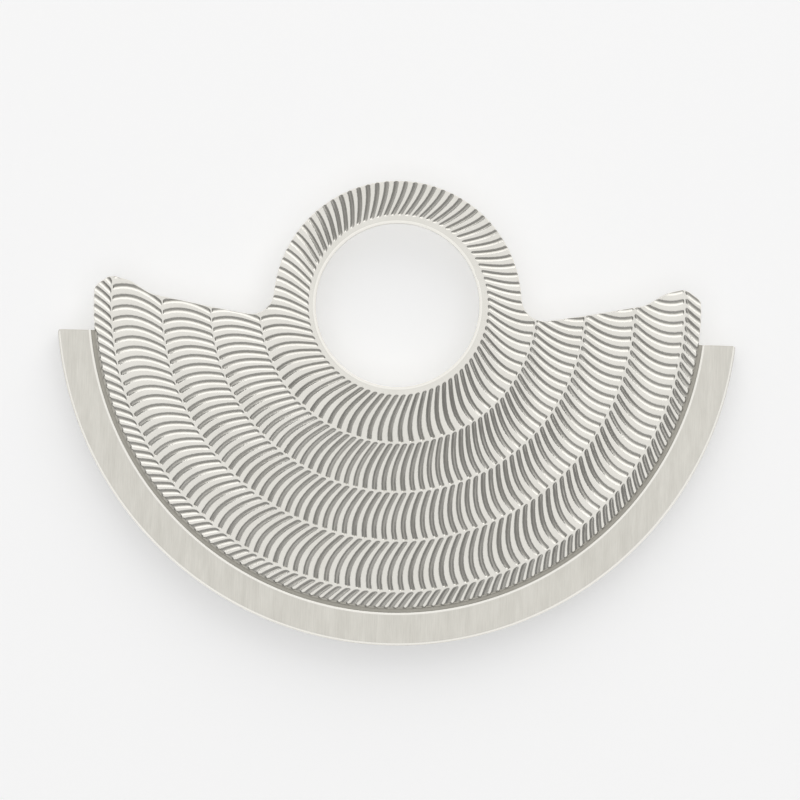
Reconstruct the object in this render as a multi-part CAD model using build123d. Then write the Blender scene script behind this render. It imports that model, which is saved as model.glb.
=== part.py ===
from build123d import *
import math
import os

# Automatic watch rotor: the half-disc weight that swings above a self-winding movement.
# It lies face up with the bearing bore on Z and the heavy half towards -Y.
# Z = 0 is the lower face of the hub, where the ball bearing goes in. All sizes are in millimetres.

# Carrier plate: one thin plate with a ring round the bore and two horns at the ends of its arc.
bore_radius = 3.19
eye_radius = 4.85
plate_edge_radius = 11.85
plate_bottom = 0.30
plate_top = 0.90
bore_bevel = 0.08
hub_boss_radius = 4.45

# The shoulders are the two upper edges that run from the hub ring out to the horns.
# Points are on the right half, and the left half mirrors them.
shoulder_root = (4.30, -0.71)
shoulder_middle = (7.20, -0.25)
shoulder_end = (9.70, 0.23)
horn_rise = (10.43, 0.70)
horn_tip = (11.20, 0.90)
horn_outside = (11.90, 0.42)
root_fillet = 0.90
horn_base_fillet = 1.10
horn_rise_fillet = 0.80
horn_tip_fillet = 0.45
horn_outside_fillet = 0.45

# Inertia segment: the heavy rim under the plate. The plate lies in its seat, and outside the
# plate it rises to a narrow strip and then, over a bevel, to the brushed ledge.
rim_radius = 13.30
segment_inner_radius = 9.60
segment_bottom = -0.90
seat_clearance = 0.02
strip_height = 0.50
strip_width = 0.13
ledge_height = 0.60
rim_bevel = 0.10
segment_end_y = -1.26
segment_corner_radius = 0.12

# Rivets: studs set blind in the plate, with their lower ends spread into countersinks.
rivet_count = 4
rivet_circle_radius = 10.75
rivet_step_angle = 38.0
rivet_shank_radius = 0.32
rivet_head_radius = 0.58
rivet_head_height = 0.26
rivet_depth_in_plate = 0.36

# Engraving: five rings of curved cuts round a centre that lies a little off the bore's. The
# plate's edge cuts the last ring short.
engraving_centre = (0.03, 0.0)
engraving_depth = 0.05
groove_width = 0.19
groove_end_gap = 0.025
# Of each ring: its inner radius, the radius of the cuts' crests, cuts in a full turn, lean in
# degrees from a cut's inner end to its crest, the clockwise angle of one crest from +X, and the
# straight stretches that make up a cut.
engraved_rings = [
    (3.47, 4.96, 80, 7.8, 2.3, 2),
    (5.38, 6.87, 120, 4.8, 0.2, 2),
    (7.29, 8.65, 144, 3.4, 2.3, 2),
    (9.19, 10.65, 164, 3.9, 0.4, 2),
    (11.16, 12.65, 200, 3.9, 1.3, 1),
]


def polar(radius, angle):
    """Point at a radius and a counter-clockwise angle in degrees from +X."""
    turn = math.radians(angle)
    return (radius * math.cos(turn), radius * math.sin(turn))


def below_shoulders():
    """Everything under the line that the shoulders and horns draw, as one face."""
    low = -2 * rim_radius
    corners = (shoulder_root, shoulder_middle, shoulder_end, horn_rise, horn_tip, horn_outside)
    edges = []
    for side in (1, -1):
        root, middle, end, rise, tip, outside = [(side * x, y) for x, y in corners]
        far = (2 * side * rim_radius, outside[1] + low)
        edges += [
            Line((0, shoulder_root[1]), root),
            ThreePointArc(root, middle, end),
            Polyline(end, rise, tip, outside, far, (0, far[1])),
        ]
    return make_face(edges)


def corners_near(sketch, point, reach=0.2):
    """Corners of a sketch on both sides of the Y axis that lie close to a point."""
    x, y = point
    return [v for v in sketch.vertices() if math.dist((abs(v.X), v.Y), (x, y)) < reach]


def plate_outline():
    """Plan view of the carrier plate without its bore."""
    web = Circle(plate_edge_radius) & below_shoulders()
    web = fillet(corners_near(web, horn_tip), horn_tip_fillet)
    web = fillet(corners_near(web, horn_rise), horn_rise_fillet)
    web = fillet(corners_near(web, shoulder_end), horn_base_fillet)
    web = fillet(corners_near(web, horn_outside), horn_outside_fillet)
    outline = web + Circle(eye_radius)
    roots = [v for v in outline.vertices() if v.Y < 0 and abs(math.hypot(v.X, v.Y) - eye_radius) < 0.01]
    return fillet(roots, root_fillet)


def rivet_places():
    """Centres of the rivets, spread evenly about -Y."""
    middle = (rivet_count - 1) / 2
    return [
        polar(rivet_circle_radius, -90 + (index - middle) * rivet_step_angle)
        for index in range(rivet_count)
    ]


def groove_cutter(inner, outer, crest, lean, stretches):
    """V-shaped cutter of one curved groove, with its crest on +X.

    Seen from above it leans over at its inner end and straightens towards its crest.
    """
    points = []
    for step in range(stretches + 1):
        radius = inner + (outer - inner) * step / stretches
        swing = lean * ((crest - radius) / (crest - inner)) ** 2
        points.append(Vector(*polar(radius, swing)))
    chords = [(b - a).normalized() for a, b in zip(points, points[1:])]
    directions = [chords[0]]
    directions += [(a + b).normalized() for a, b in zip(chords, chords[1:])]
    directions.append(chords[-1])

    half_width = groove_width / 2
    above = 0.02
    spread = half_width * (engraving_depth + above) / engraving_depth
    left, right, keel = [], [], []
    for point, direction, chord in zip(points, directions, chords + [chords[-1]]):
        across = direction.rotate(Axis.Z, 90)
        reach = spread / abs(across.dot(chord.rotate(Axis.Z, 90)))
        left.append(point + across * reach + Vector(0, 0, plate_top + above))
        right.append(point - across * reach + Vector(0, 0, plate_top + above))
        keel.append(point + Vector(0, 0, plate_top - engraving_depth))
    keel[0] = keel[0] + chords[0] * half_width
    keel[-1] = keel[-1] - chords[-1] * half_width

    def panel(*corners):
        return Face(Wire.make_polygon(corners))

    panels = [panel(*left, *reversed(right)), panel(left[0], right[0], keel[0])]
    panels.append(panel(left[-1], keel[-1], right[-1]))
    for index in range(stretches):
        after = index + 1
        panels.append(panel(left[index], left[after], keel[after], keel[index]))
        panels.append(panel(right[index], keel[index], keel[after], right[after]))
    return Solid(Shell(panels))


def groove_cutters():
    """Cutters of every groove that meets the plate."""
    outline = plate_outline()
    cutters = []
    ends = [ring[0] - groove_end_gap for ring in engraved_rings[1:]]
    ends.append(plate_edge_radius + groove_width)
    for outer, (start, crest, count, lean, first, stretches) in zip(ends, engraved_rings):
        cutter = groove_cutter(start + groove_end_gap, outer, crest, lean, stretches)
        for index in range(count):
            angle = -first - index * 360 / count
            placed = Pos(*engraving_centre, 0) * Rot(0, 0, angle) * cutter
            corners = [vertex.center() for vertex in placed.vertices()]
            if any(outline.is_inside((corner.X, corner.Y, 0)) for corner in corners):
                cutters.append(placed)
    return cutters


def make_carrier_plate():
    """Thin engraved plate with a boss under the hub ring."""
    plate = Pos(0, 0, plate_bottom) * extrude(plate_outline(), plate_top - plate_bottom)
    plate += extrude(Circle(hub_boss_radius), plate_bottom)
    plate -= extrude(Circle(bore_radius), plate_top)
    bevel = Cone(bore_radius, bore_radius + bore_bevel, bore_bevel)
    plate -= Pos(0, 0, plate_top - bore_bevel / 2) * bevel
    hole = Cylinder(rivet_shank_radius, rivet_depth_in_plate)
    for x, y in rivet_places():
        plate -= Pos(x, y, plate_bottom + rivet_depth_in_plate / 2) * hole
    return plate.cut(*groove_cutters())


def make_inertia_segment():
    """Heavy C-shaped rim with a seat for the plate and a ledge outside it."""
    seat_radius = plate_edge_radius + seat_clearance
    strip_radius = seat_radius + strip_width
    inner_bevel = ledge_height - strip_height
    section = Polyline(
        (segment_inner_radius, segment_bottom),
        (rim_radius - rim_bevel, segment_bottom),
        (rim_radius, segment_bottom + rim_bevel),
        (rim_radius, ledge_height - rim_bevel),
        (rim_radius - rim_bevel, ledge_height),
        (strip_radius + inner_bevel, ledge_height),
        (strip_radius, strip_height),
        (seat_radius, strip_height),
        (seat_radius, plate_bottom),
        (segment_inner_radius, plate_bottom),
        close=True,
    )
    depth = rim_radius + segment_end_y
    lower_half = Pos(0, segment_end_y - depth, 0) * Box(4 * rim_radius, 2 * depth, 4 * rim_radius)
    segment = revolved(section) & lower_half
    corner = (math.sqrt(rim_radius**2 - segment_end_y**2), segment_end_y)
    upright = [
        edge
        for edge in segment.edges().filter_by(Axis.Z)
        if math.dist((abs(edge.center().X), edge.center().Y), corner) < 0.01
    ]
    segment = fillet(upright, segment_corner_radius)
    for x, y in rivet_places():
        segment -= Pos(x, y, 0) * rivet_hole()
    return segment


def rivet_profile(top):
    """Half section of a rivet up to a height: countersunk head below, plain shank above."""
    return Polyline(
        (0, segment_bottom),
        (rivet_head_radius, segment_bottom),
        (rivet_shank_radius, segment_bottom + rivet_head_height),
        (rivet_shank_radius, top),
        (0, top),
        close=True,
    )


def revolved(profile):
    """Solid of revolution about Z of a half section drawn as radius and height."""
    return revolve(Plane.XZ * make_face(profile), Axis.Z)


def rivet_hole():
    """Shape that a rivet fills in the segment."""
    return revolved(rivet_profile(plate_bottom))


def make_segment_rivets():
    """All the rivets as separate solids."""
    rivet = revolved(rivet_profile(plate_bottom + rivet_depth_in_plate))
    return Compound([Pos(x, y, 0) * rivet.solid() for x, y in rivet_places()])


parts = {
    "carrier_plate": make_carrier_plate(),
    "inertia_segment": make_inertia_segment(),
    "segment_rivets": make_segment_rivets(),
}

os.makedirs("parts", exist_ok=True)
for name, shape in parts.items():
    export_step(shape, f"parts/{name}.step")
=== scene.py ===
import math

import bpy
import numpy as np
from mathutils import Matrix, Vector


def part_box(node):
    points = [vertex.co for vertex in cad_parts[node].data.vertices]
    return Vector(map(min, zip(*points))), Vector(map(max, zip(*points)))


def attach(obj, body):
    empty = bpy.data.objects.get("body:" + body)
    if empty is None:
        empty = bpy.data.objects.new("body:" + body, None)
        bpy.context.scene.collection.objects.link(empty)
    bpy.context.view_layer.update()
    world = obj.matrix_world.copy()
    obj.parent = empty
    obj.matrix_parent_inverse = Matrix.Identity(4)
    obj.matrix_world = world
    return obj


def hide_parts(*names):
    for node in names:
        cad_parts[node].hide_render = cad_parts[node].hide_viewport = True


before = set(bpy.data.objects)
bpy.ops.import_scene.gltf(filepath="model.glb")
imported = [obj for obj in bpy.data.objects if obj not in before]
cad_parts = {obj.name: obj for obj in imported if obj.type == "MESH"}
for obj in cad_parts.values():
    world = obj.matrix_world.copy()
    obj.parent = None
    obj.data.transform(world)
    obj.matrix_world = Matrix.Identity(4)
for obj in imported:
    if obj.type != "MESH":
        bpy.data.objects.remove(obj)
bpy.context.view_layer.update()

# The watch rotor's looks. Sizes are in millimetres, and MM turns them into Blender's metres.
MM = 0.001

# Camera: straight above the rotor, turned so that the rotor hangs a little clockwise in the view.
IMAGE_SIZE = 800
PIXELS_PER_MM = 25.66
BORE_PIXEL = (397.5, 305.0)
CAMERA_ROLL = math.radians(1.44)
CAMERA_HEIGHT = 200 * MM
CLIP_START = 10 * MM
CLIP_END = 2.0
SENSOR = 36.0

# Levels and radii of the plate and the rim, in millimetres. What the frame knows is read from it.
plate_low, plate_high = (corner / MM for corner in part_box("carrier_plate"))
rim_low, rim_high = (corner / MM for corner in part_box("inertia_segment"))
PLATE_TOP = round(plate_high.z, 3)
HUB_BOTTOM = round(plate_low.z, 3)
PLATE_THICKNESS = 0.60
PLATE_BOTTOM = PLATE_TOP - PLATE_THICKNESS
PLATE_RADIUS = 11.85
EYE_RADIUS = 4.85
BORE_RADIUS = 3.19
BORE_BEVEL = 0.08
HUB_BOSS_RADIUS = 4.45
PLATE_EDGE = 0.05
PLATE_EDGE_DROP = 0.06

# Corners of the plate's upper edge on the right half, each with its rounding.
SHOULDER_ROOT = (4.30, -0.71)
SHOULDER_MIDDLE = (7.20, -0.25)
SHOULDER_END = (9.70, 0.23)
HORN_RISE = (10.43, 0.70)
HORN_TIP = (11.20, 0.90)
HORN_OUTSIDE = (11.90, 0.42)
ROOT_FILLET = 0.90
HORN_BASE_FILLET = 1.10
HORN_RISE_FILLET = 0.80
HORN_TIP_FILLET = 0.45
HORN_OUTSIDE_FILLET = 0.45

# Rim: the seat that the plate lies in, the narrow strip beside it and the ledge outside that.
RIM_RADIUS = round(-rim_low.y, 2)
RIM_BOTTOM = round(rim_low.z, 3)
LEDGE = round(rim_high.z, 3)
RIM_END = round(rim_high.y, 3)
RIM_INNER = 9.60
SEAT_CLEARANCE = 0.02
STRIP_WIDTH = 0.13
STRIP_DROP = 0.10
SEAT_RADIUS = PLATE_RADIUS + SEAT_CLEARANCE
STRIP_RADIUS = SEAT_RADIUS + STRIP_WIDTH
STRIP = LEDGE - STRIP_DROP
RIM_BEVEL = 0.10
RIM_CORNER = 0.12
LEDGE_EDGE = 0.09
LEDGE_EDGE_TILT = 0.22

# Rivets, whose upper ends stand blind in the plate.
RIVET_COUNT = 4
RIVET_CIRCLE = 10.75
RIVET_STEP = math.radians(38)
RIVET_SHANK = 0.32
RIVET_HEAD = 0.58
RIVET_HEAD_HEIGHT = 0.26
RIVET_IN_PLATE = 0.36

# Engraving: rings of curved cuts round a centre that lies a little off the bore's.
ENGRAVING_CENTRE = (0.03, 0.0)
CUT_DEPTH = 0.05
CUT_END_GAP = 0.025
SEAM_HALF_WIDTH = 0.018
# Of each ring: its inner radius, the radius of the cuts' crests, cuts in a full turn, lean in
# degrees from a cut's inner end to its crest, and the clockwise angle of one crest from +X.
ENGRAVED_RINGS = [
    (3.47, 4.96, 80, 7.8, 2.3),
    (5.38, 6.87, 120, 4.8, 0.2),
    (7.29, 8.65, 144, 3.4, 2.3),
    (9.19, 10.65, 164, 3.9, 0.4),
    (11.16, 12.65, 200, 3.9, 1.3),
]
# Of each ring, how wide its cuts are. Other widths can leave slivers where the cuts meet the
# plate's fine edge.
CUT_WIDTHS = (0.154, 0.173, 0.173, 0.173, 0.20)


def make_camera():
    data = bpy.data.cameras.new("camera")
    data.sensor_width = SENSOR
    data.lens = SENSOR * (CAMERA_HEIGHT / MM - PLATE_TOP) * PIXELS_PER_MM / IMAGE_SIZE
    data.clip_start = CLIP_START
    data.clip_end = CLIP_END
    camera = bpy.data.objects.new("camera", data)
    right = (IMAGE_SIZE / 2 - BORE_PIXEL[0]) / PIXELS_PER_MM * MM
    down = (IMAGE_SIZE / 2 - BORE_PIXEL[1]) / PIXELS_PER_MM * MM
    turn = Matrix.Rotation(CAMERA_ROLL, 3, "Z")
    camera.location = turn @ Vector((right, -down, CAMERA_HEIGHT))
    camera.rotation_euler = (0, 0, CAMERA_ROLL)
    bpy.context.scene.collection.objects.link(camera)
    bpy.context.scene.camera = camera


make_camera()


# Outline of the plate. Each stretch of edge is a line or a circle that knows how deep in the metal
# a point lies, so that the circle that rounds a corner can be found from both its neighbours.

ARC_STEP = 0.06
FILLET_ROUNDS = 30


class Straight:
    """Edge along a line, with the metal on its left."""

    def __init__(self, start, end):
        self.start = np.array(start)
        way = np.array(end) - self.start
        self.inward = np.array((-way[1], way[0])) / np.hypot(*way)

    def depth(self, point):
        return (point - self.start) @ self.inward

    def foot(self, point):
        return point - self.depth(point) * self.inward

    def sample(self, start, end):
        return [start, end]


class Round:
    """Edge along a circle, with the metal inside it or outside it."""

    def __init__(self, centre, radius, metal_inside):
        self.centre = np.array(centre)
        self.radius = radius
        self.metal_inside = metal_inside

    def depth(self, point):
        outside = np.hypot(*(point - self.centre)) - self.radius
        return -outside if self.metal_inside else outside

    def foot(self, point):
        arm = point - self.centre
        return self.centre + arm * self.radius / np.hypot(*arm)

    def sample(self, start, end):
        first, last = (math.atan2(*(p - self.centre)[::-1]) for p in (start, end))
        turn = (last - first) % math.tau
        if not self.metal_inside:
            turn -= math.tau
        count = max(2, math.ceil(abs(turn) * self.radius / ARC_STEP))
        angles = first + turn * np.linspace(0, 1, count + 1)
        return [self.centre + self.radius * np.array((math.cos(a), math.sin(a))) for a in angles]


def circle_through(a, b, c):
    """Centre and radius of the circle through three points."""
    a, b, c = (np.array(p, float) for p in (a, b, c))
    rows = np.array((b - a, c - a))
    centre = np.linalg.solve(2 * rows, (rows * (rows + 2 * a)).sum(1))
    return centre, np.hypot(*(a - centre))


def fillet_circle(before, after, near, radius):
    """Circle that rounds the corner between two edges. A negative radius fills an inner corner."""
    centre = np.array(near, float)
    nudge = 1e-6
    steps = np.eye(2) * nudge
    for _ in range(FILLET_ROUNDS):
        miss = [edge.depth(centre) - radius for edge in (before, after)]
        slopes = [
            [(edge.depth(centre + step) - edge.depth(centre)) / nudge for step in steps]
            for edge in (before, after)
        ]
        centre = centre - np.linalg.solve(np.array(slopes), np.array(miss))
    return Round(centre, abs(radius), radius > 0)


def mirrored_outline(edges, corners, start, end):
    """Points round a shape, counter-clockwise, from edges of its right half and its corners."""
    points = []
    place = np.array(start)
    for before, after, (corner, radius) in zip(edges, edges[1:], corners):
        turn = fillet_circle(before, after, corner, radius)
        first, last = before.foot(turn.centre), after.foot(turn.centre)
        points += before.sample(place, first)[:-1] + turn.sample(first, last)[:-1]
        place = last
    points += edges[-1].sample(place, np.array(end))
    left = [point * (-1, 1) for point in points[-2:0:-1]]
    return np.array(points + left)


def plate_outline():
    shoulder = circle_through(SHOULDER_ROOT, SHOULDER_MIDDLE, SHOULDER_END)
    edges = [
        Round((0, 0), PLATE_RADIUS, True),
        Straight(HORN_OUTSIDE, HORN_TIP),
        Straight(HORN_TIP, HORN_RISE),
        Straight(HORN_RISE, SHOULDER_END),
        Round(*shoulder, False),
        Round((0, 0), EYE_RADIUS, True),
    ]
    corners = [
        (HORN_OUTSIDE, HORN_OUTSIDE_FILLET),
        (HORN_TIP, HORN_TIP_FILLET),
        (HORN_RISE, HORN_RISE_FILLET),
        (SHOULDER_END, -HORN_BASE_FILLET),
        (SHOULDER_ROOT, -ROOT_FILLET),
    ]
    return mirrored_outline(edges, corners, (0, -PLATE_RADIUS), (0, EYE_RADIUS))


# Meshes

ROUND_POINTS = 360
RIM_POINTS = 720
HOLE_POINTS = 48


def new_object(name, vertices, faces):
    """Mesh object from millimetre points."""
    mesh = bpy.data.meshes.new(name)
    mesh.from_pydata((np.asarray(vertices) * MM).tolist(), [], faces)
    mesh.validate()
    thing = bpy.data.objects.new(name, mesh)
    bpy.context.scene.collection.objects.link(thing)
    return thing


def prism(name, levels):
    """Upright solid through levels, each an outline and its height, from the bottom up.

    All the outlines have the same number of points.
    """
    count = len(levels[0][0])
    points = [(x, y, height) for outline, height in levels for x, y in outline]
    after = [(i + 1) % count for i in range(count)]
    faces = [tuple(reversed(range(count)))]
    for level in range(len(levels) - 1):
        low, high = level * count, (level + 1) * count
        faces += [(low + i, low + after[i], high + after[i], high + i) for i in range(count)]
    faces.append(tuple(range(high, high + count)))
    return new_object(name, points, faces)


def inset(outline, width):
    """The outline moved into the metal on its left by a width."""
    ways = np.roll(outline, -1, axis=0) - outline
    ways /= np.hypot(ways[:, 0], ways[:, 1])[:, None]
    both = ways + np.roll(ways, 1, axis=0)
    inward = np.stack([-both[:, 1], both[:, 0]], 1)
    return outline + inward * width * 2 / (both**2).sum(1)[:, None]


def circle(radius, height, count, centre=(0, 0)):
    turns = np.arange(count) / count * math.tau
    x = centre[0] + radius * np.cos(turns)
    y = centre[1] + radius * np.sin(turns)
    return np.stack([x, y, np.full(count, height)], 1)


class Skin:
    """A surface made of loops of points round a centre, each loop sewn to the one before it."""

    def __init__(self, centre):
        self.centre = centre
        self.points = []
        self.faces = []
        self.loop = None

    def add_loop(self, points):
        first = len(self.points)
        self.points += [tuple(p) for p in points]
        return list(range(first, len(self.points)))

    def start(self, points):
        """First loop, closed by a flat face that looks up."""
        self.loop = self.add_loop(points)
        self.faces.append(tuple(self.loop))

    def strip(self, points):
        """Adds a loop with as many points as the last one and joins them with quads."""
        loop = self.add_loop(points)
        count = len(loop)
        for i in range(count):
            j = (i + 1) % count
            self.faces.append((self.loop[i], loop[i], loop[j], self.loop[j]))
        self.loop = loop

    def close(self):
        """Closes the last loop with a flat face that looks down."""
        self.faces.append(tuple(reversed(self.loop)))

    def from_zero(self, loop):
        """A loop turned to start at the least angle, repeated at its end, and its angles."""
        x, y = self.centre
        arms = [(self.points[i][0] - x, self.points[i][1] - y) for i in loop]
        angles = [math.atan2(arm[1], arm[0]) % math.tau for arm in arms]
        start = angles.index(min(angles))
        turned = loop[start:] + loop[: start + 1]
        turned_angles = angles[start:] + angles[:start] + [angles[start] + math.tau]
        return turned, turned_angles

    def zip_to(self, points):
        """Adds a loop with any number of points and joins them with triangles, by angle."""
        outer = self.add_loop(points)
        a, a_angles = self.from_zero(self.loop)
        b, b_angles = self.from_zero(outer)
        i = j = 0
        while i < len(a) - 1 or j < len(b) - 1:
            if j == len(b) - 1 or (i < len(a) - 1 and a_angles[i + 1] < b_angles[j + 1]):
                self.faces.append((a[i], b[j], a[i + 1]))
                i += 1
            else:
                self.faces.append((a[i], b[j], b[j + 1]))
                j += 1
        self.loop = outer


def plug(name, profile, count=ROUND_POINTS, centre=(0, 0)):
    """Closed solid of revolution from a list of radius and height, drawn from its bottom up."""
    skin = Skin(centre)
    loops = [circle(radius, height, count, centre) for radius, height in reversed(profile)]
    skin.start(loops[0])
    for loop in loops[1:]:
        skin.strip(loop)
    skin.close()
    return new_object(name, skin.points, skin.faces)


def hoop(name, profile, count=RIM_POINTS):
    """Closed ring from a list of radius and height, drawn counter-clockwise round its section."""
    skin = Skin((0, 0))
    skin.loop = skin.add_loop(circle(*profile[0], count))
    first = skin.loop
    for radius, height in profile[:0:-1]:
        skin.strip(circle(radius, height, count))
    last = skin.loop
    for i in range(count):
        j = (i + 1) % count
        skin.faces.append((last[i], first[i], first[j], last[j]))
    return new_object(name, skin.points, skin.faces)


def boolean(target, tool, operation):
    """Applies a boolean to the target and removes the tool."""
    modifier = target.modifiers.new(operation, "BOOLEAN")
    modifier.operation = operation
    modifier.solver = "MANIFOLD"
    modifier.material_mode = "INDEX"
    modifier.object = tool
    graph = bpy.context.evaluated_depsgraph_get()
    mesh = bpy.data.meshes.new_from_object(target.evaluated_get(graph))
    mesh.name = target.name
    target.modifiers.clear()
    target.data = mesh
    bpy.data.objects.remove(tool)


# Engraved face

SEED = 7
DEPTH_SPREAD = 0.03
# Columns across one cut, in half-widths from its middle, and across the land beside it, as shares
# of the land's width.
CUT_COLUMNS = (0.0, 0.25, 0.50, 0.72, 0.89, 1.0)
LAND_COLUMNS = (0.2, 0.5, 0.8)
# A cut's floor is dished, and the power sets how steeply its walls rise.
WALL_POWER = 1.35
LAND_ROUNDING = 0.025
LAND_DROP = 0.006
LEAST_LAND = 0.02
# A cut's inner end is round, and its outer end is cut off steeply over the run-out.
RUN_OUT = 0.035
INNER_ROWS = (0.0, 0.018, 0.036, 0.062, 0.11)
OUTER_ROWS = (0.11, 0.06, 0.035, 0.0)
MIDDLE_ROWS = 8
ROPE_ROWS = 9
# Beside the rim the last ring's lands end in round noses, and a lower margin, coloured darker as
# painted shade, runs round them.
ROPE_LAND_END = 11.83
NOSE_INSIDE = 0.12
NOSE_OUTSIDE = 0.03
NOSE_ROWS = 7
NOSE_STEEPNESS = 0.35
MARGIN_START = 11.79
# The slab that carries the engraving is wider than the plate and has a flat round the bore.
SLAB_BOTTOM = 0.10
SLAB_OVERHANG = 0.35
EDGE_MARGIN = 0.03


def cut_lean(radius, lean, inner, crest):
    """Angle by which a cut leans at a radius, and the cosine of its slant there."""
    height = crest - inner
    share = (crest - radius) / height
    swing = math.radians(lean) * share**2
    slant = 2 * radius * math.radians(lean) * share / height
    return swing, 1 / math.hypot(1, slant)


def ring_outer(ring):
    """Outer radius of a ring. The last one runs on past the plate's edge."""
    after = ring + 1
    if after < len(ENGRAVED_RINGS):
        return ENGRAVED_RINGS[after][0]
    return PLATE_RADIUS + SLAB_OVERHANG


def ring_rows(inner, outer, is_rope):
    """Radii of the rows of points across a ring, close together where the cuts end."""
    low = inner + SEAM_HALF_WIDTH
    high = outer - SEAM_HALF_WIDTH
    start = [low + step for step in INNER_ROWS]
    if is_rope:
        count = ROPE_ROWS
        noses = np.linspace(ROPE_LAND_END - NOSE_INSIDE, ROPE_LAND_END + NOSE_OUTSIDE, NOSE_ROWS)
        end = [*noses, high]
    else:
        count = MIDDLE_ROWS
        end = [high - step for step in OUTER_ROWS]
    between = np.linspace(start[-1], end[0], count + 1)[1:-1]
    return [*start, *between, *end]


def cut_section(reach, half_width, depth):
    """Height beside a cut's middle line, where reach is how far off it lies."""
    share = np.minimum(reach / half_width, 1)
    beyond = np.clip((reach - half_width) / LAND_ROUNDING, 0, 1)
    return -LAND_DROP * (1 - beyond) ** 2 - (depth - LAND_DROP) * (1 - share**WALL_POWER)


def ring_row(radius, ring, depths):
    """One closed row of points of a ring, with the heights that its cuts give it."""
    inner, crest, count, lean, first = ENGRAVED_RINGS[ring]
    is_rope = ring == len(ENGRAVED_RINGS) - 1
    swing, cosine = cut_lean(radius, lean, inner, crest)
    half_width = CUT_WIDTHS[ring] / 2 * math.sqrt(cosine)
    pitch = math.tau / count
    half_angle = half_width / cosine / radius
    right = np.array(CUT_COLUMNS) * half_angle
    land = half_angle + np.array(LAND_COLUMNS) * (pitch - 2 * half_angle)
    columns = np.concatenate((right, land, pitch - right[:0:-1]))
    across = np.minimum(columns, pitch - columns) * radius * cosine

    past_inner = max(0, inner + CUT_END_GAP + half_width - radius)
    reach = np.hypot(across, past_inner / cosine)
    cuts = np.arange(count)[:, None]
    angles = cuts * pitch + columns - math.radians(first) + swing
    depth = depths[ring][(cuts + (columns > pitch / 2)) % count]
    heights = cut_section(reach, half_width, depth)
    x = ENGRAVING_CENTRE[0] + radius * np.cos(angles)
    y = ENGRAVING_CENTRE[1] + radius * np.sin(angles)
    if is_rope:
        land_half = max(LEAST_LAND, (pitch * radius * cosine - 2 * half_width) / 2)
        past_land = max(0, radius - (ROPE_LAND_END - land_half))
        from_land = np.abs(columns - pitch / 2) * radius * cosine
        nose = np.clip((np.hypot(from_land, past_land) / land_half - 1) / NOSE_STEEPNESS + 1, 0, 1)
        beside_rim = y < RIM_END
        if past_land:
            heights = np.where(beside_rim, np.minimum(heights, -CUT_DEPTH * nose), heights)
    else:
        left = ring_outer(ring) - SEAM_HALF_WIDTH - radius
        heights = heights * min(1, left / RUN_OUT)
    return np.stack([x.ravel(), y.ravel(), PLATE_TOP + heights.ravel()], 1)


def engraved_slab():
    """Closed slab whose top carries all the rings, wider than the plate."""
    chance = np.random.default_rng(SEED)
    depths = [CUT_DEPTH * chance.normal(1, DEPTH_SPREAD, ring[2]) for ring in ENGRAVED_RINGS]
    skin = Skin(ENGRAVING_CENTRE)
    skin.start(circle(BORE_RADIUS + BORE_BEVEL + EDGE_MARGIN, PLATE_TOP, ROUND_POINTS))
    for ring in range(len(ENGRAVED_RINGS)):
        is_rope = ring == len(ENGRAVED_RINGS) - 1
        rows = ring_rows(ENGRAVED_RINGS[ring][0], ring_outer(ring), is_rope)
        skin.zip_to(ring_row(rows[0], ring, depths))
        for radius in rows[1:]:
            skin.strip(ring_row(radius, ring, depths))
    rim = np.array(skin.points[-len(skin.loop):])
    rim[:, 2] = SLAB_BOTTOM
    skin.strip(rim)
    skin.close()
    return new_object("engraved_slab", skin.points, skin.faces)


# Pieces

BROKEN_EDGE = 0.03
CLEAR = 0.1
HAIR = 0.001
# How far a face looks up, from 0 for a wall to 1 for a flat one.
WALL = 0.1
STEEP = 0.3
FLAT = 0.99


def polished_edge(radius, height, width, fall, tilt=0.2):
    """Section of a slightly sloped edge between a flat and its wall.

    The wall stands at the radius, and the flat lies inside it, or outside it for a negative width.
    """
    steps = ((1.3, 0.0), (1.0, 0.0), (0.1, tilt), (0.0, 1.0))
    return [(radius - out * width, height - down * fall) for out, down in steps]


def rivet_places():
    turns = [-math.pi / 2 + (i - (RIVET_COUNT - 1) / 2) * RIVET_STEP for i in range(RIVET_COUNT)]
    return [(RIVET_CIRCLE * math.cos(turn), RIVET_CIRCLE * math.sin(turn)) for turn in turns]


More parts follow.
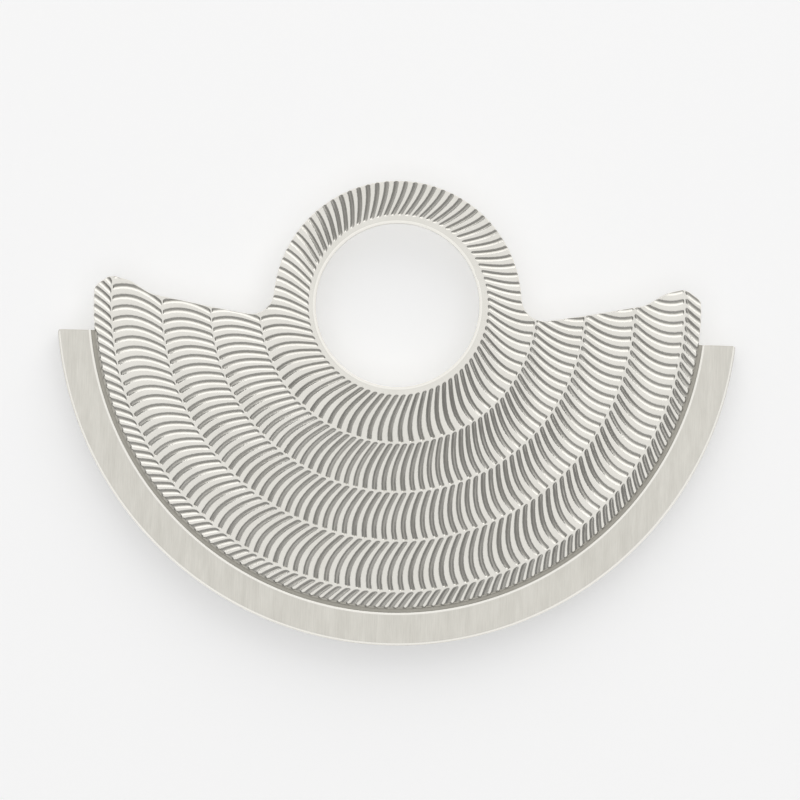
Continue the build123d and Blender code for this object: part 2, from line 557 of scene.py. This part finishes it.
def make_plate():
    """Engraved plate with its hub boss, bore and blind rivet holes."""
    outline = plate_outline()
    inner = inset(outline, PLATE_EDGE)
    levels = [(outline, PLATE_BOTTOM), (outline, PLATE_TOP - PLATE_EDGE_DROP)]
    levels += [(inner, PLATE_TOP), (inner, PLATE_TOP + CLEAR)]
    plate = prism("rotor_plate", levels)
    # The second slot marks the sloped faces of the fine edge.
    for _ in range(2):
        plate.data.materials.append(None)
    for face in plate.data.polygons:
        face.material_index = 1 if WALL < face.normal.z < FLAT else 0
    boolean(plate, engraved_slab(), "INTERSECT")
    boss = [
        (HUB_BOSS_RADIUS - BROKEN_EDGE, HUB_BOTTOM),
        (HUB_BOSS_RADIUS, HUB_BOTTOM + BROKEN_EDGE),
        (HUB_BOSS_RADIUS, PLATE_BOTTOM + CLEAR),
    ]
    boolean(plate, plug("boss", boss), "UNION")
    bore = [
        (BORE_RADIUS + BROKEN_EDGE + CLEAR, HUB_BOTTOM - CLEAR),
        (BORE_RADIUS, HUB_BOTTOM + BROKEN_EDGE),
    ]
    bore += polished_edge(BORE_RADIUS, PLATE_TOP, -BORE_BEVEL, BORE_BEVEL)[:0:-1]
    bore += [(BORE_RADIUS + BORE_BEVEL, PLATE_TOP + CLEAR)]
    boolean(plate, plug("bore", bore), "DIFFERENCE")
    hole = [(RIVET_SHANK, PLATE_BOTTOM - CLEAR), (RIVET_SHANK, PLATE_BOTTOM + RIVET_IN_PLATE)]
    for place in rivet_places():
        boolean(plate, plug("hole", hole, HOLE_POINTS, place), "DIFFERENCE")
    return plate


def rim_outline():
    """Plan of the half that stays, just clear of the rim but for its rounded end corners."""
    outer = Round((0, 0), RIM_RADIUS + HAIR, True)
    end = Straight((RIM_RADIUS, RIM_END), (0, RIM_END))
    corner = (math.sqrt(RIM_RADIUS**2 - RIM_END**2), RIM_END)
    return mirrored_outline([outer, end], [(corner, RIM_CORNER)], (0, -RIM_RADIUS), (0, RIM_END))


def make_rim():
    """Heavy rim with its seat, strip, ledge and rivet holes."""
    section = [(RIM_INNER + BROKEN_EDGE, RIM_BOTTOM)]
    section += [(RIM_RADIUS - RIM_BEVEL, RIM_BOTTOM), (RIM_RADIUS, RIM_BOTTOM + RIM_BEVEL)]
    section += polished_edge(RIM_RADIUS, LEDGE, RIM_BEVEL, RIM_BEVEL)[::-1]
    section += polished_edge(STRIP_RADIUS, LEDGE, -LEDGE_EDGE, LEDGE - STRIP, LEDGE_EDGE_TILT)
    section += [
        (SEAT_RADIUS, STRIP),
        (SEAT_RADIUS, PLATE_BOTTOM),
        (RIM_INNER, PLATE_BOTTOM),
        (RIM_INNER, RIM_BOTTOM + BROKEN_EDGE),
    ]
    rim = hoop("rotor_rim", section)
    outline = rim_outline()
    half = prism("half", [(outline, RIM_BOTTOM - CLEAR), (outline, LEDGE + CLEAR)])
    boolean(rim, half, "INTERSECT")
    slope = RIVET_HEAD_HEIGHT / (RIVET_HEAD - RIVET_SHANK)
    hole = [
        (RIVET_HEAD + CLEAR / slope, RIM_BOTTOM - CLEAR),
        (RIVET_SHANK, RIM_BOTTOM + RIVET_HEAD_HEIGHT),
        (RIVET_SHANK, PLATE_BOTTOM + CLEAR),
    ]
    for place in rivet_places():
        boolean(rim, plug("hole", hole, HOLE_POINTS, place), "DIFFERENCE")
    return rim


def shade(piece, sharp_degrees):
    """Smooth shading that keeps edges sharper than an angle."""
    piece.data.shade_smooth()
    piece.data.set_sharp_from_angle(angle=math.radians(sharp_degrees))


def give_slots(piece, materials, choose):
    """Gives a piece its materials. choose picks one per face by middle, normal and old slot."""
    marks = [face.material_index for face in piece.data.polygons]
    piece.data.materials.clear()
    for material in materials:
        piece.data.materials.append(material)
    for face, mark in zip(piece.data.polygons, marks):
        face.material_index = choose(face.center / MM, face.normal, mark)


# Materials

def new_material(name):
    material = bpy.data.materials.new(name)
    material.use_nodes = True
    nodes = material.node_tree.nodes
    nodes.clear()
    output = nodes.new("ShaderNodeOutputMaterial")
    shader = nodes.new("ShaderNodeBsdfPrincipled")
    material.node_tree.links.new(shader.outputs[0], output.inputs[0])
    shader.inputs["Metallic"].default_value = 1.0
    return material, shader


def node(material, kind, inputs=None, **settings):
    """New node of a material or the world, with its settings, and its inputs set or linked."""
    made = material.node_tree.nodes.new("ShaderNode" + kind)
    for name, value in settings.items():
        setattr(made, name, value)
    for name, value in (inputs or {}).items():
        feed(material, made.inputs[name], value)
    return made


def feed(material, socket, value):
    if isinstance(value, bpy.types.NodeSocket):
        material.node_tree.links.new(value, socket)
    else:
        socket.default_value = value


def object_place(material, scale=(1, 1, 1)):
    """The point's place in millimetres, stretched along each axis."""
    place = node(material, "TexCoord").outputs["Object"]
    stretch = [part / MM for part in scale]
    return node(material, "Mapping", {"Vector": place, "Scale": stretch}).outputs[0]


def noise(material, place, scale, detail=2.0, roughness=0.5):
    inputs = {"Vector": place, "Scale": scale, "Detail": detail, "Roughness": roughness}
    return node(material, "TexNoise", inputs).outputs[0]


def ramp(material, value, low, high, out_low, out_high):
    """Maps a value from one range to another and stops at the ends."""
    inputs = {
        "Value": value, "From Min": low, "From Max": high, "To Min": out_low, "To Max": out_high,
    }
    return node(material, "MapRange", inputs).outputs[0]


def maths(material, operation, first, second):
    return node(material, "Math", {0: first, 1: second}, operation=operation).outputs[0]


def blend_colours(material, factor, first, second):
    mix = node(material, "Mix", data_type="RGBA")
    feed(material, mix.inputs["Factor"], factor)
    feed(material, mix.inputs["A"], first)
    feed(material, mix.inputs["B"], second)
    return mix.outputs["Result"]


def bump(material, height, distance):
    inputs = {"Height": height, "Distance": distance * MM, "Strength": 1.0}
    return node(material, "Bump", inputs).outputs[0]


def grey(level, warmth=0.0):
    """Linear colour of a tone written as on screen, 0 to 255, a little warmer towards red."""
    tones = (level * (1 + warmth), level, level * (1 - 3 * warmth))
    return [(t / 255) ** 2.2 for t in tones] + [1.0]


def engraved_metal():
    """Bright plated lands, with duller metal down in the cuts, whose darker colour is partly
    painted shade.
    """
    material, shader = new_material("engraved_metal")
    place = object_place(material)
    height = node(material, "SeparateXYZ", {"Vector": place}).outputs["Z"]
    up = ramp(material, height, PLATE_TOP - CUT_DEPTH, PLATE_TOP - CUT_DEPTH * 0.5, 0.0, 1.0)
    specks = noise(material, place, 14.0, 3.0)
    patches = noise(material, place, 0.8, 2.0)
    # The cuts' low colour is darker partly for the duller cut metal and partly as painted shade in
    # the recesses, blended in by height.
    low = blend_colours(material, specks, grey(168, 0.015), grey(192, 0.012))
    high = blend_colours(material, patches, grey(218, 0.012), grey(230, 0.010))
    colour = blend_colours(material, up, low, high)
    feed(material, shader.inputs["Base Color"], colour)
    feed(material, shader.inputs["Roughness"], ramp(material, up, 0.0, 1.0, 0.42, 0.20))
    shader.inputs["Anisotropic"].default_value = 0.8
    feed(material, shader.inputs["Tangent"], node(material, "Tangent", axis="Z").outputs[0])
    feed(material, shader.inputs["Normal"], bump(material, specks, 0.004))
    return material


def polished_metal():
    """Cut bevels."""
    material, shader = new_material("polished_metal")
    specks = noise(material, object_place(material), 6.0, 3.0)
    colour = blend_colours(material, specks, grey(232, 0.01), grey(244, 0.01))
    feed(material, shader.inputs["Base Color"], colour)
    feed(material, shader.inputs["Roughness"], ramp(material, specks, 0.3, 0.7, 0.16, 0.24))
    return material


def turned_metal(name, low, high):
    """Underside and edges of two tones, with fine circles from the lathe."""
    material, shader = new_material(name)
    x, y, z = node(material, "SeparateXYZ", {"Vector": object_place(material)}).outputs
    squares = [maths(material, "POWER", axis, 2.0) for axis in (x, y)]
    radius = maths(material, "POWER", maths(material, "ADD", *squares), 0.5)
    line = node(material, "CombineXYZ", {"X": radius, "Y": z}).outputs[0]
    circles = ramp(material, noise(material, line, 9.0, 3.0, 0.6), 0.3, 0.7, 0.0, 1.0)
    colour = blend_colours(material, circles, grey(low, 0.014), grey(high, 0.012))
    feed(material, shader.inputs["Base Color"], colour)
    feed(material, shader.inputs["Roughness"], ramp(material, circles, 0.0, 1.0, 0.26, 0.36))
    feed(material, shader.inputs["Normal"], bump(material, circles, 0.003))
    return material


def brushed_metal():
    """Ledge with a straight grain along Y and faint patches."""
    material, shader = new_material("brushed_metal")
    fine = noise(material, object_place(material, (28, 1.2, 4)), 1.0, 3.0, 0.6)
    broad = noise(material, object_place(material, (3.0, 0.7, 1)), 1.0, 3.0, 0.6)
    grain = ramp(material, fine, 0.3, 0.7, 0.0, 1.0)
    patches = ramp(material, broad, 0.3, 0.7, 0.0, 1.0)
    share = ramp(material, maths(material, "ADD", grain, patches), 0.0, 2.0, 0.0, 1.0)
    colour = blend_colours(material, share, grey(203, 0.014), grey(226, 0.012))
    feed(material, shader.inputs["Base Color"], colour)
    feed(material, shader.inputs["Roughness"], ramp(material, fine, 0.3, 0.7, 0.30, 0.42))
    feed(material, shader.inputs["Normal"], bump(material, fine, 0.003))
    return material


def shaded_step_metal():
    """Rougher step between the engraved face and the ledge, its dark colour painted shade of the
    gap between the parts.
    """
    material, shader = new_material("shaded_step_metal")
    specks = noise(material, object_place(material), 9.0, 3.0)
    colour = blend_colours(material, specks, grey(164, 0.02), grey(186, 0.016))
    feed(material, shader.inputs["Base Color"], colour)
    feed(material, shader.inputs["Roughness"], ramp(material, specks, 0.3, 0.7, 0.34, 0.46))
    feed(material, shader.inputs["Normal"], bump(material, specks, 0.004))
    return material


def rivet_metal():
    """Steel rivet, turned flush with the rim."""
    material, shader = new_material("rivet_metal")
    specks = noise(material, object_place(material), 9.0, 4.0)
    colour = blend_colours(material, specks, grey(176, 0.0), grey(198, 0.0))
    feed(material, shader.inputs["Base Color"], colour)
    feed(material, shader.inputs["Roughness"], ramp(material, specks, 0.3, 0.7, 0.24, 0.34))
    feed(material, shader.inputs["Normal"], bump(material, specks, 0.003))
    return material


# Dressing

PLATE_SHARP_DEGREES = 35
RIM_SHARP_DEGREES = 30
# No cut reaches down to here, so any face below it is the plate's underside or edge.
ENGRAVED_FLOOR = PLATE_TOP - CUT_DEPTH * 1.3


def dress_plate(polished, shaded_step):
    plate = make_plate()
    shade(plate, PLATE_SHARP_DEGREES)

    def choose(middle, normal, mark):
        radius = math.hypot(middle.x, middle.y)
        # Beside the rim, the plate's fine edge and margin take the step's dark colour, which is
        # painted shade of the gap.
        if mark == 1:
            return 1 if middle.y > RIM_END else 3
        if middle.z < ENGRAVED_FLOOR or normal.z < WALL:
            return 2
        if radius < BORE_RADIUS + BORE_BEVEL:
            return 1
        in_shaded_margin = radius > MARGIN_START and middle.z < PLATE_TOP - CUT_DEPTH * 0.5
        return 3 if in_shaded_margin and middle.y < RIM_END else 0

    turned = turned_metal("turned_plate", 208, 230)
    give_slots(plate, [engraved_metal(), polished, turned, shaded_step], choose)
    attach(plate, "root")
    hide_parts("carrier_plate")


def dress_rim(polished, shaded_step):
    rim = make_rim()
    shade(rim, RIM_SHARP_DEGREES)

    def choose(middle, normal, mark):
        if normal.z > FLAT:
            # The strip below the ledge takes the step's dark colour, which is painted shade of the
            # gap beside the plate.
            return 0 if middle.z > (LEDGE + STRIP) / 2 else 2
        return 1 if normal.z > STEEP else 3

    turned = turned_metal("turned_rim", 190, 212)
    give_slots(rim, [brushed_metal(), polished, shaded_step, turned], choose)
    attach(rim, "root")
    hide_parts("inertia_segment")


def dress_rivets():
    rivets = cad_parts["segment_rivets"]
    rivets.data.materials.clear()
    rivets.data.materials.append(rivet_metal())


polished = polished_metal()
shaded_step = shaded_step_metal()
dress_plate(polished, shaded_step)
dress_rim(polished, shaded_step)
dress_rivets()


# Studio

FLOOR_SIZE = 3.0
FLOOR_TONE = 225
FLOOR_GLOW_TONE = 238
FLOOR_GLOW = 0.45
# Of each lamp: its name, its place and its width and height in metres, and how bright its face is.
LAMPS = [
    ("overhead", (0, 0, 0.35), (0.40, 0.40), 0.75),
    ("window", (0.08, 0.41, 0.29), (0.70, 0.50), 1.18),
    ("fill", (0, -0.41, 0.29), (0.70, 0.50), 0.11),
    ("west", (-0.43, 0.20, 0.29), (0.40, 0.50), 0.20),
]
WORLD_LEVEL = 0.25
WORLD_LEVEL_BELOW = 0.85
BELOW_HORIZON = -0.1


def make_floor():
    """Pale floor that the rim lies on, lit evenly for the camera and clear from below."""
    half = FLOOR_SIZE / 2 / MM
    corners = [(-half, -half), (half, -half), (half, half), (-half, half)]
    floor = new_object("floor", [(x, y, RIM_BOTTOM) for x, y in corners], [(0, 1, 2, 3)])
    material = bpy.data.materials.new("floor")
    material.use_nodes = True
    nodes = material.node_tree.nodes
    nodes.clear()
    output = node(material, "OutputMaterial")
    paint = node(material, "BsdfDiffuse", {"Color": grey(FLOOR_TONE)}).outputs[0]
    light = {"Color": grey(FLOOR_GLOW_TONE), "Strength": FLOOR_GLOW}
    glow = node(material, "Emission", light).outputs[0]
    both = node(material, "AddShader", {0: paint, 1: glow}).outputs[0]
    rays = node(material, "LightPath").outputs
    seen = maths(material, "MAXIMUM", rays["Is Camera Ray"], rays["Is Glossy Ray"])
    top = node(material, "MixShader", {0: seen, 1: paint, 2: both}).outputs[0]
    below = node(material, "NewGeometry").outputs["Backfacing"]
    clear = node(material, "BsdfTransparent").outputs[0]
    mix = node(material, "MixShader", {0: below, 1: top, 2: clear}).outputs[0]
    feed(material, output.inputs["Surface"], mix)
    floor.data.materials.append(material)


def area_light(name, place, size, radiance):
    """Lamp that looks at the bore, with a face of a given brightness."""
    data = bpy.data.lights.new(name, "AREA")
    data.shape = "RECTANGLE"
    data.size, data.size_y = size
    data.energy = radiance * math.pi * size[0] * size[1]
    lamp = bpy.data.objects.new(name, data)
    lamp.location = place
    lamp.rotation_euler = Vector(place).to_track_quat("Z", "Y").to_euler()
    bpy.context.scene.collection.objects.link(lamp)


def make_lights():
    for lamp in LAMPS:
        area_light(*lamp)
    world = bpy.data.worlds.new("world")
    world.use_nodes = True
    backdrop = world.node_tree.nodes["Background"]
    backdrop.inputs["Color"].default_value = (1, 1, 1, 1)
    way = node(world, "TexCoord").outputs["Generated"]
    height = node(world, "SeparateXYZ", {"Vector": way}).outputs["Z"]
    level = ramp(world, height, BELOW_HORIZON, 0.0, WORLD_LEVEL_BELOW, WORLD_LEVEL)
    feed(world, backdrop.inputs["Strength"], level)
    bpy.context.scene.world = world


make_floor()
make_lights()
bpy.context.scene.view_settings.view_transform = "Standard"
